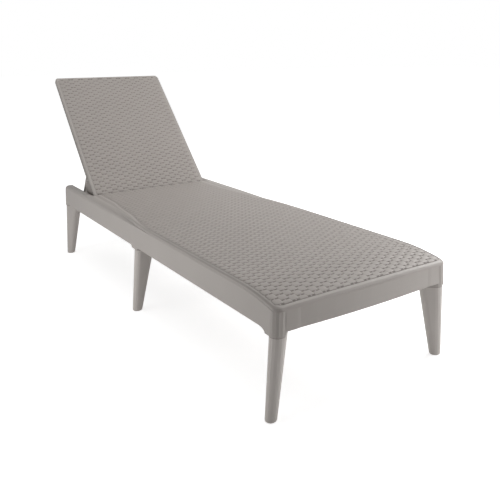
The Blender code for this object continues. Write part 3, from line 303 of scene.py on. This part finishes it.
# Rails, apron and the prop's foot bar: polypropylene from a spark eroded mould. It gives an even,
# dull satin. The real grain is 0.3 mm, too fine to show, so it is drawn at 2 mm or more here and
# on the other smooth pieces.
RAIL_PLASTIC = moulded_plastic("polypropylene_satin_moulded", "#A39C97", "#A9A39E", 0.52, 2.0, 0.05)
# Legs: the same plastic from a smoother mould, in a paler colour: painted light that lifts the legs
# above the rails. A band of painted shade shows under each socket.
LEG_PLASTIC = moulded_plastic("polypropylene_leg_moulded", "#BBB4AF", "#C0BAB5", 0.50, 2.0, 0.04,
                              shade_band_level=SOCKET_MOUTH - SHADE_BAND_SPAN / 2)
# Arms of the prop: from the same smooth mould as the legs, and nearly as pale: painted light that
# lifts the thin arms out of the shade they stand in.
PROP_PLASTIC = moulded_plastic("polypropylene_prop_moulded", "#B6AFAA", "#BBB5B0", 0.50, 2.0, 0.04)
# The seat's skin around the woven field: the rails' plastic and mould finish, an even, dull satin.
SKIN_PLASTIC = moulded_plastic("polypropylene_skin_moulded", "#A09994", "#A7A09B", 0.54, 2.0, 0.05)
# Borders and lips of the two faces: a polished band of the mould leaves them a little paler.
BORDER_PLASTIC = moulded_plastic("polypropylene_border_moulded", "#AFA9A4", "#B5AFAA", 0.5, 2.0,
                                 0.04)
# Flanges of the back beside the hinge: they stand in the shade, and their colour is darkened with
# painted shade.
FLANGE_SHADE_PLASTIC = moulded_plastic("polypropylene_flange_moulded", "#7F7974", "#86807B", 0.6, 2.0,
                                 0.05)
# The back's shell: a dull satin too, but its side walls are darkened with painted shade, for the
# shade they stand in.
BACK_SKIN_PLASTIC = moulded_plastic("polypropylene_back_skin_moulded", "#A6A09B", "#ADA7A2", 0.54,
                                    2.0, 0.05, side_shade_colour="#7B7570")
# Cross bars, racks and spacers: a polished mould leaves them smoother and a shade darker.
BAR_PLASTIC = moulded_plastic("polypropylene_bar_moulded", "#8C8580", "#938D88", 0.46, 3.0, 0.03)
# Strands: flat cane look, with fine lines along each strand about 1 mm apart, across the lounger.
STRAND_PLASTIC = moulded_plastic("polypropylene_strand_moulded", "#A59E99", "#ABA49F", 0.56, 1.1,
                                 0.16, LINES_ACROSS)
# Stakes: the same cane look with its lines along the lounger.
STAKE_PLASTIC = moulded_plastic("polypropylene_stake_moulded", "#A29B96", "#A8A19C", 0.56, 1.1,
                                0.16, LINES_ALONG)
# Bed of the weave: a dark sheet deep between the strands, coloured as painted shade for the shade
# that falls between them.
SEAT_BED_SHADE_PLASTIC = moulded_plastic("polypropylene_seat_bed_moulded", "#6F6964", "#78726D", 0.7, 2.0,
                                   0.05)
BACK_BED_SHADE_PLASTIC = moulded_plastic("polypropylene_back_bed_moulded", "#69635E", "#948E89", 0.7, 2.0,
                                   0.05)
# Screws and pins: the plating gives them a cool, satin shine.
ZINC_STEEL = zinc_plated_steel()


def finish_frame_nodes():
    """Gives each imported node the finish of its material."""
    bars = ("crossbar", "rack", "spacer")
    for name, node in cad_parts.items():
        if "screw" in name or "_pin" in name:
            material = ZINC_STEEL
        elif any(word in name for word in bars):
            material = BAR_PLASTIC
        elif name == "seat_deck":
            material = SKIN_PLASTIC
        elif name == "backrest_panel":
            material = BACK_SKIN_PLASTIC
        elif name.startswith("leg_"):
            material = LEG_PLASTIC
        elif name.startswith("prop_arm"):
            material = PROP_PLASTIC
        else:
            material = RAIL_PLASTIC
        node.data.materials.clear()
        node.data.materials.append(material)


# Places on the moulded faces

def face_tree(node_name):
    """A search tree of a node's faces, for rays."""
    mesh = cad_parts[node_name].data
    return BVHTree.FromPolygons([v.co.copy() for v in mesh.vertices],
                                [tuple(p.vertices) for p in mesh.polygons])


def first_hit(trees, start, way):
    """The nearest plastic of several nodes on a ray."""
    hits = [tree.ray_cast(start, way)[0] for tree in trees]
    return min((hit for hit in hits if hit), key=lambda hit: (hit - start).length)


def face_axes(tilt):
    """The directions up a tilted face and out of it."""
    return (Vector((0.0, math.cos(tilt), math.sin(tilt))),
            Vector((0.0, -math.sin(tilt), math.cos(tilt))))


class MouldedFace:
    """A face of the lounger as a sheet: across is X, along runs up it from its lower edge."""

    def __init__(self, node_name, origin, tilt):
        self.tree = face_tree(node_name)
        self.origin = origin
        self.up, self.out = face_axes(tilt)

    def point(self, across, along, lift):
        """The point on the face at a place on the sheet, lifted off the plastic."""
        start = self.origin + Vector((across, 0.0, 0.0)) + self.up * along + self.out * RAY_LIFT
        hit = self.tree.ray_cast(start, -self.out)[0]
        if hit is None:
            raise RuntimeError("no plastic under a strand")
        return hit + self.out * lift


def seat_bow(across, along):
    """How far the foot edge's bow carries a place towards the foot end."""
    share = min(abs(across) / SEAT_HALF_WIDTH, 1.0)
    return SEAT_FRONT_BOW * (1 - share * share) * max(1 - along / SEAT_BOW_LENGTH, 0.0)


class SeatFace(MouldedFace):
    """The seat's face, on which places near the foot edge follow its bow."""

    def point(self, across, along, lift):
        return super().point(across, along - seat_bow(across, along), lift)


def between(table, along):
    """Value at a place from a table of (place, value) pairs."""
    for (low, first), (high, second) in zip(table, table[1:]):
        if along <= high:
            return first + (second - first) * max(along - low, 0.0) / (high - low)
    return table[-1][1]


def spread(low, high, step):
    """Evenly spaced values from low to high, about a step apart."""
    count = max(1, round(abs(high - low) / step))
    return [low + (high - low) * i / count for i in range(count + 1)]


def corner_draw(run):
    """How far a field's side draws in at a place that runs into its rounded corner."""
    run = min(max(run, 0.0), FIELD_CORNER)
    return FIELD_CORNER - math.sqrt(FIELD_CORNER * FIELD_CORNER - run * run)


def seat_limit(along):
    """Half width of the seat's field."""
    return between(SEAT_SIDE_LIMITS, along) - corner_draw(SEAT_FRONT_LIMIT + FIELD_CORNER - along)


def back_limit(along):
    """Half width of the backrest's field."""
    return BACK_SIDE_LIMIT - corner_draw(along - (BACK_TOP_LIMIT - FIELD_CORNER))


def seat_rise(along):
    """Height of the seat's strands, the same everywhere."""
    return SEAT_STRAND_RISE


def back_rise(along):
    """Height of the backrest's strands."""
    return BACK_STRAND_RISE * (1 - (1 - BACK_TOP_RISE_SHARE) * max(along, 0.0) / BACK_TOP_LIMIT)


# Pieces

def new_piece(name, verts, faces, material, body):
    """A visible piece of plastic that moves with a body."""
    mesh = bpy.data.meshes.new(name)
    mesh.from_pydata(verts, [], faces)
    mesh.shade_smooth()
    mesh.materials.append(material)
    piece = bpy.data.objects.new(name, mesh)
    bpy.context.scene.collection.objects.link(piece)
    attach(piece, body)
    return piece


def add_patch(verts, faces, rows):
    """Adds a patch of quads between rows of points."""
    start = len(verts)
    width = len(rows[0])
    for row in rows:
        verts.extend(row)
    for i in range(len(rows) - 1):
        for j in range(width - 1):
            first = start + i * width + j
            faces.append((first, first + 1, first + width + 1, first + width))


# Woven relief

def loop_profile(stake_pitch, row_pitch):
    """A strand from the top of its loop to the next stake: (distance, height share, half width).

    It stays wide and nearly level up to half the pitch, where it meets the loops of the rows
    beside it, and then dives into a pit beside the stake."""
    wide = row_pitch - PIT_HEIGHT / 2
    pit = PIT_HEIGHT / 2
    return ((0.0, 1.0, wide),
            (0.42 * stake_pitch, 0.98, wide),
            (0.495 * stake_pitch, 0.92, wide - 0.3 * MM),
            (0.52 * stake_pitch, 0.6, row_pitch / 2),
            (0.56 * stake_pitch, 0.15, pit + 0.4 * MM),
            (stake_pitch - STAKE_WIDTH / 2, 0.04, pit))


def strand_loop(face, verts, faces, across, along, field):
    """One loop of a strand over a stake, with its two ends that dive beside the next stakes."""
    profile = loop_profile(field["stake_pitch"], field["row_pitch"])
    steps = [(-distance, height, half) for distance, height, half in reversed(profile[1:])]
    limit = field["limit_at"](along)
    rise = field["rise_at"](along)
    rows = []
    last_x = None
    for distance, height, half in steps + list(profile):
        x = min(max(across + distance, -limit), limit)
        if last_x is not None and x - last_x < LEAST_STEP:
            continue
        last_x = x
        low = max(along - half, field["low"])
        high = min(along + half, field["high"])
        fade = min(max((limit - abs(x)) / SIDE_FADE_LENGTH, SIDE_FADE_LEAST), 1.0)
        row = []
        for share, level in STRAND_SECTION:
            lift = rise * height * fade * level if level > 0 else level * MM
            row.append(face.point(x, (low + high) / 2 + share * (high - low) / 2, lift))
        rows.append(list(reversed(row)))
    if len(rows) > 1:
        add_patch(verts, faces, rows)


def stake_bit(face, verts, faces, across, along, field):
    """The short length of stake that shows between two loops where a strand passes under it."""
    rows = []
    reach = PIT_HEIGHT / 2 + STAKE_OVERLAP
    rise = field["rise_at"](along) * STAKE_RISE_SHARE
    for share, height in STAKE_PROFILE:
        row = []
        for side, level in STAKE_SECTION:
            lift = rise * height * level if level > 0 else level * MM
            row.append(face.point(across + side * STAKE_WIDTH / 2, along + share * reach, lift))
        rows.append(row)
    add_patch(verts, faces, rows)


def weave(face, body, prefix, rows, field):
    """All loops and stake bits of one woven field. Rows are (row number, place along) pairs."""
    loop_verts, loop_faces, bit_verts, bit_faces = [], [], [], []
    pitch = field["stake_pitch"]
    for number, along in rows:
        limit = field["limit_at"](along)
        count = int(limit / pitch) + 1
        for stake in range(-count, count + 1):
            across = stake * pitch
            if (stake + number) % 2 == 0:
                if abs(across) - pitch / 2 < limit - LEAST_LOOP:
                    strand_loop(face, loop_verts, loop_faces, across, along, field)
            elif abs(across) + STAKE_WIDTH / 2 < limit:
                stake_bit(face, bit_verts, bit_faces, across, along, field)
    new_piece(prefix + "_weave_strands", loop_verts, loop_faces, STRAND_PLASTIC, body)
    new_piece(prefix + "_weave_stakes", bit_verts, bit_faces, STAKE_PLASTIC, body)


def weave_bed(face, body, prefix, ends, limit_at, material):
    """The dark bed of painted shade that shows between the strands."""
    verts, faces, rows = [], [], []
    for along in spread(ends[0], ends[1], BED_STEP):
        limit = limit_at(along) - BED_INSET
        rows.append([face.point(limit * (2 * i / BED_STRIPS - 1), along, BED_LIFT)
                     for i in range(BED_STRIPS + 1)])
    add_patch(verts, faces, rows)
    new_piece(prefix + "_weave_bed", verts, faces, material, body)


# Borders of the two fields

def border(face, body, name, line, fade):
    """A smooth raised border. Its line is made of (inner place, outer place) pairs."""
    verts, faces, rows = [], [], []
    for inner, outer in line:
        row = []
        for share, level in BORDER_SECTION:
            across = inner[0] + (outer[0] - inner[0]) * share
            along = inner[1] + (outer[1] - inner[1]) * share
            rise = BORDER_RISE * between(fade, along) if level > 0 else BORDER_RISE
            row.append(face.point(across, along, rise * level))
        rows.append(row)
    add_patch(verts, faces, rows)
    new_piece(name, verts, faces, BORDER_PLASTIC, body)


def border_corner(centre, first_degrees, reach):
    """The line round a corner: inside it keeps the field's round, outside it swings by the reach."""
    line = []
    for step in range(CORNER_STEP, 90 + CORNER_STEP, CORNER_STEP):
        angle = math.radians(first_degrees + step)
        turn = (math.cos(angle), math.sin(angle))
        line.append(((centre[0] + FIELD_CORNER * turn[0], centre[1] + FIELD_CORNER * turn[1]),
                     (centre[0] + reach[0] * turn[0], centre[1] + reach[1] * turn[1])))
    return line


def seat_border_line():
    """Half of the seat's border, from the middle of the foot edge round to the hinge end's middle."""
    centre = (between(SEAT_SIDE_LIMITS, 0.0) - FIELD_CORNER, SEAT_FRONT_LIMIT + FIELD_CORNER)
    edge = between(SEAT_EDGE_LIMITS, 0.0)
    line = [((x, SEAT_FRONT_LIMIT), (x, SEAT_FRONT_EDGE))
            for x in spread(0.0, centre[0], BORDER_STEP)]
    line += border_corner(centre, -90, (edge - centre[0], centre[1] - SEAT_FRONT_EDGE))
    for y in spread(centre[1], SEAT_HEAD_LIMIT, BORDER_SIDE_STEP)[1:]:
        side = between(SEAT_SIDE_LIMITS, y)
        line.append(((side, y), (min(side + SEAT_SIDE_BORDER, between(SEAT_EDGE_LIMITS, y)), y)))
    side = between(SEAT_SIDE_LIMITS, SEAT_HEAD_LIMIT)
    head_edge = SEAT_HEAD_LIMIT + SEAT_HEAD_BORDER
    line.append(((side - HEAD_CORNER_CUT, SEAT_HEAD_LIMIT + HEAD_CORNER_CUT / 2),
                 (side + SEAT_HEAD_BORDER, head_edge - HEAD_CORNER_CUT)))
    line += [((x, SEAT_HEAD_LIMIT), (x, head_edge))
             for x in spread(side - HEAD_CORNER_RUN, 0.0, BORDER_STEP)]
    return line


def back_border_line():
    """Half of the backrest's border from the hinge end round to the middle of the top."""
    centre = (BACK_SIDE_LIMIT - FIELD_CORNER, BACK_TOP_LIMIT - FIELD_CORNER)
    line = [((BACK_SIDE_LIMIT, y), (BACK_EDGE, y)) for y in spread(0.0, centre[1], BORDER_STEP)]
    line += border_corner(centre, 0, (BACK_EDGE - centre[0], BACK_TOP_EDGE - centre[1]))
    line += [((x, BACK_TOP_LIMIT), (x, BACK_TOP_EDGE))
             for x in spread(centre[0], 0.0, BORDER_STEP)[1:]]
    return line


def both_halves(half):
    """A border line and its mirror image. The half starts in the middle, where the two join."""
    mirrored = [((-inner[0], inner[1]), (-outer[0], outer[1])) for inner, outer in reversed(half)]
    return mirrored + half[1:]


def weave_seat():
    """The seat's weave and border."""
    face = SeatFace("seat_deck", Vector((0.0, FOOT_EDGE_Y, SEAT_FACE_Z)), 0.0)
    field = {"stake_pitch": SEAT_STAKE_PITCH, "row_pitch": SEAT_ROW_PITCH, "rise_at": seat_rise,
             "limit_at": seat_limit, "low": SEAT_FRONT_LIMIT + SEAT_FRONT_CREVICE,
             "high": SEAT_HEAD_LIMIT}
    count = int((SEAT_HEAD_LIMIT - SEAT_FIRST_ROW) / SEAT_ROW_PITCH)
    rows = [(number, SEAT_FIRST_ROW + SEAT_ROW_PITCH * number) for number in range(1, count + 1)]
    weave(face, "frame", "seat", rows, field)
    weave_bed(face, "frame", "seat",
              (SEAT_FRONT_LIMIT - BED_OVERRUN, SEAT_HEAD_LIMIT + BED_OVERRUN),
              seat_limit, SEAT_BED_SHADE_PLASTIC)
    border(face, "frame", "seat_border", both_halves(seat_border_line()), BORDER_FADE)


def weave_back():
    """The backrest's weave and border."""
    face = MouldedFace("backrest_panel", HINGE, BACK_TILT)
    field = {"stake_pitch": BACK_STAKE_PITCH, "row_pitch": BACK_ROW_PITCH, "rise_at": back_rise,
             "limit_at": back_limit, "low": BACK_LOW_LIMIT, "high": BACK_TOP_LIMIT}
    count = int((BACK_TOP_LIMIT - BACK_FIRST_ROW) / BACK_ROW_PITCH)
    rows = [(number + 1, BACK_FIRST_ROW + BACK_ROW_PITCH * number) for number in range(count + 1)]
    weave(face, "backrest", "back", rows, field)
    weave_bed(face, "backrest", "back", (BACK_BED_START, BACK_TOP_LIMIT + BED_OVERRUN),
              back_limit, BACK_BED_SHADE_PLASTIC)
    line = both_halves(list(reversed(back_border_line())))
    border(face, "backrest", "back_border", list(reversed(line)), BORDER_EVEN)


# Other trim

def side_lips():
    """The seat's moulding runs over the rails' inner edges near the hinge, so no seam shows there."""
    trees = [face_tree(name) for name in ("seat_deck", "side_rail_left", "side_rail_right")]
    verts, faces = [], []
    for side in (-1, 1):
        rows = []
        for along in spread(LIP_ENDS[0], LIP_ENDS[1], LIP_STEP):
            seam = between(LIP_SEAM, along)
            row = []
            for step, lift in LIP_SECTION:
                start = Vector((side * (seam + step), FOOT_EDGE_Y + along, RAY_HEIGHT))
                top = first_hit(trees, start, Vector((0.0, 0.0, -1.0))).z
                row.append(Vector((start.x, start.y, top + lift)))
            row.insert(2, (row[1] + row[2]) / 2 + Vector((0.0, 0.0, LIP_CROWN)))
            rows.append(row if side > 0 else list(reversed(row)))
        add_patch(verts, faces, rows)
    new_piece("seat_side_lips", verts, faces, BORDER_PLASTIC, "frame")


def apron_shoulder_fillets():
    """A shallow fillet against each shoulder of the apron, which softens its one millimetre step."""
    trees = [face_tree(name) for name in ("foot_apron", "side_rail_left", "side_rail_right")]
    verts, faces = [], []
    for side in (-1, 1):
        rows = []
        for height in spread(FILLET_HEIGHTS[0], FILLET_HEIGHTS[1], FILLET_STEP):
            ends = []
            for across in FILLET_ENDS:
                start = Vector((side * across, FOOT_EDGE_Y - RAY_AHEAD, height))
                front = first_hit(trees, start, Vector((0.0, 1.0, 0.0))).y
                ends.append(Vector((start.x, front, height)))
            row = [ends[0].lerp(ends[1], share) - Vector((0.0, lift, 0.0))
                   for share, lift in FILLET_SECTION]
            rows.append(row if side > 0 else list(reversed(row)))
        add_patch(verts, faces, rows)
    new_piece("apron_shoulder_fillets", verts, faces, RAIL_PLASTIC, "frame")


def hinge_cheeks():
    """The flange behind each lower corner of the back, which stiffens it beside the hinge."""
    verts, faces = [], []
    up, out = face_axes(BACK_TILT)
    count = len(CHEEK_OUTLINE)
    last_ring = len(CHEEK_SECTION) - 1
    for side in (-1, 1):
        start = len(verts)
        for across, inset in CHEEK_SECTION:
            for i, (place, depth) in enumerate(CHEEK_OUTLINE):
                pull = inset if 0 < i < count - 1 else 0.0
                verts.append(HINGE + Vector((side * across, 0.0, 0.0)) + up * place
                             + out * (depth + pull))
        plate = [tuple(start + i for i in reversed(range(count))),
                 tuple(start + last_ring * count + i for i in range(count))]
        for ring in range(last_ring):
            for i in range(count):
                first = start + ring * count + i
                second = start + ring * count + (i + 1) % count
                plate.append((first, second, second + count, first + count))
        faces.extend(plate if side > 0 else [tuple(reversed(face)) for face in plate])
    cheeks = new_piece("back_hinge_cheeks", verts, faces, FLANGE_SHADE_PLASTIC, "backrest")
    cheeks.data.set_sharp_from_angle(angle=CHEEK_SHARP_ANGLE)


# Studio

def seen_directly(tree):
    """A node that is 1 for rays that show a thing to the camera, straight or in a reflection."""
    path = add_node(tree, "ShaderNodeLightPath", {}, {})
    return add_node(tree, "ShaderNodeMath", {"operation": "MAXIMUM"},
                    {0: path.outputs["Is Camera Ray"], 1: path.outputs["Is Glossy Ray"]})


def add_floor():
    """A plain white floor. Seen directly it is lifted to white, and it keeps the lounger's shadow."""
    mesh = bpy.data.meshes.new("studio_floor")
    end = FLOOR_HALF_SIDE
    mesh.from_pydata([(-end, -end, 0), (end, -end, 0), (end, end, 0), (-end, end, 0)], [],
                     [(0, 1, 2, 3)])
    floor = bpy.data.objects.new("studio_floor", mesh)
    bpy.context.scene.collection.objects.link(floor)
    material, tree, shader = new_material("studio_floor_paint")
    shader.inputs["Base Color"].default_value = linear(FLOOR_COLOUR)
    shader.inputs["Roughness"].default_value = FLOOR_ROUGHNESS
    shader.inputs["Specular IOR Level"].default_value = 0.0
    shader.inputs["Emission Color"].default_value = WHITE
    seen = seen_directly(tree)
    place = add_node(tree, "ShaderNodeTexCoord", {}, {})
    reach = add_node(tree, "ShaderNodeVectorMath", {"operation": "LENGTH"},
                     {0: place.outputs["Object"]})
    direct = add_node(tree, "ShaderNodeMapRange",
                      {"From Min": FLOOR_GLOW_DISTANCES[0], "From Max": FLOOR_GLOW_DISTANCES[1],
                       "To Min": FLOOR_GLOW_LEVELS[0], "To Max": FLOOR_GLOW_LEVELS[1]},
                      {"Value": reach.outputs["Value"]})
    glow = add_node(tree, "ShaderNodeMix", {2: FLOOR_BOUNCE},
                    {0: seen.outputs[0], 3: direct.outputs["Result"]})
    tree.links.new(glow.outputs[0], shader.inputs["Emission Strength"])
    mesh.materials.append(material)


def add_sky():
    """A white surround that lights the lounger softly and shows as white behind it."""
    world = bpy.data.worlds.new("studio_surround")
    bpy.context.scene.world = world
    world.use_nodes = True
    tree = world.node_tree
    back = tree.nodes["Background"]
    back.inputs["Color"].default_value = WHITE
    level = add_node(tree, "ShaderNodeMapRange", {"To Min": SURROUND_LEVEL, "To Max": 1.0},
                     {"Value": seen_directly(tree).outputs[0]})
    tree.links.new(level.outputs["Result"], back.inputs["Strength"])


def add_softbox(name, place, target, width, height, power):
    """A rectangular lamp at a place that looks at a target."""
    light = bpy.data.lights.new(name, "AREA")
    light.shape = "RECTANGLE"
    light.size = width
    light.size_y = height
    light.energy = power
    lamp = bpy.data.objects.new(name, light)
    bpy.context.scene.collection.objects.link(lamp)
    lamp.location = place
    lamp.rotation_euler = (Vector(target) - Vector(place)).to_track_quat("-Z", "Y").to_euler()


def add_camera():
    """The camera stands at the foot end's left, just above the height of the backrest."""
    yaw, pitch, roll = CAMERA_TURN
    ahead = Vector((math.sin(yaw) * math.cos(pitch), math.cos(yaw) * math.cos(pitch),
                    -math.sin(pitch)))
    right = Vector((math.cos(yaw), -math.sin(yaw), 0.0))
    up = right.cross(ahead)
    rolled_right = right * math.cos(roll) + up * math.sin(roll)
    rolled_up = up * math.cos(roll) - right * math.sin(roll)
    data = bpy.data.cameras.new("photo_camera")
    data.sensor_width = SENSOR_WIDTH
    data.lens = FOCAL_PIXELS / PHOTO_SIDE * SENSOR_WIDTH
    data.shift_x = (PHOTO_SIDE / 2 - OPTICAL_CENTRE[0]) / PHOTO_SIDE
    data.shift_y = (OPTICAL_CENTRE[1] - PHOTO_SIDE / 2) / PHOTO_SIDE
    camera = bpy.data.objects.new("photo_camera", data)
    matrix = Matrix((rolled_right, rolled_up, -ahead)).transposed().to_4x4()
    matrix.translation = CAMERA_PLACE
    camera.matrix_world = matrix
    bpy.context.scene.collection.objects.link(camera)
    bpy.context.scene.camera = camera


finish_frame_nodes()
weave_seat()
side_lips()
apron_shoulder_fillets()
weave_back()
hinge_cheeks()
add_floor()
add_sky()
for softbox in SOFTBOXES:
    add_softbox(*softbox)
add_camera()
bpy.context.scene.view_settings.view_transform = "Standard"
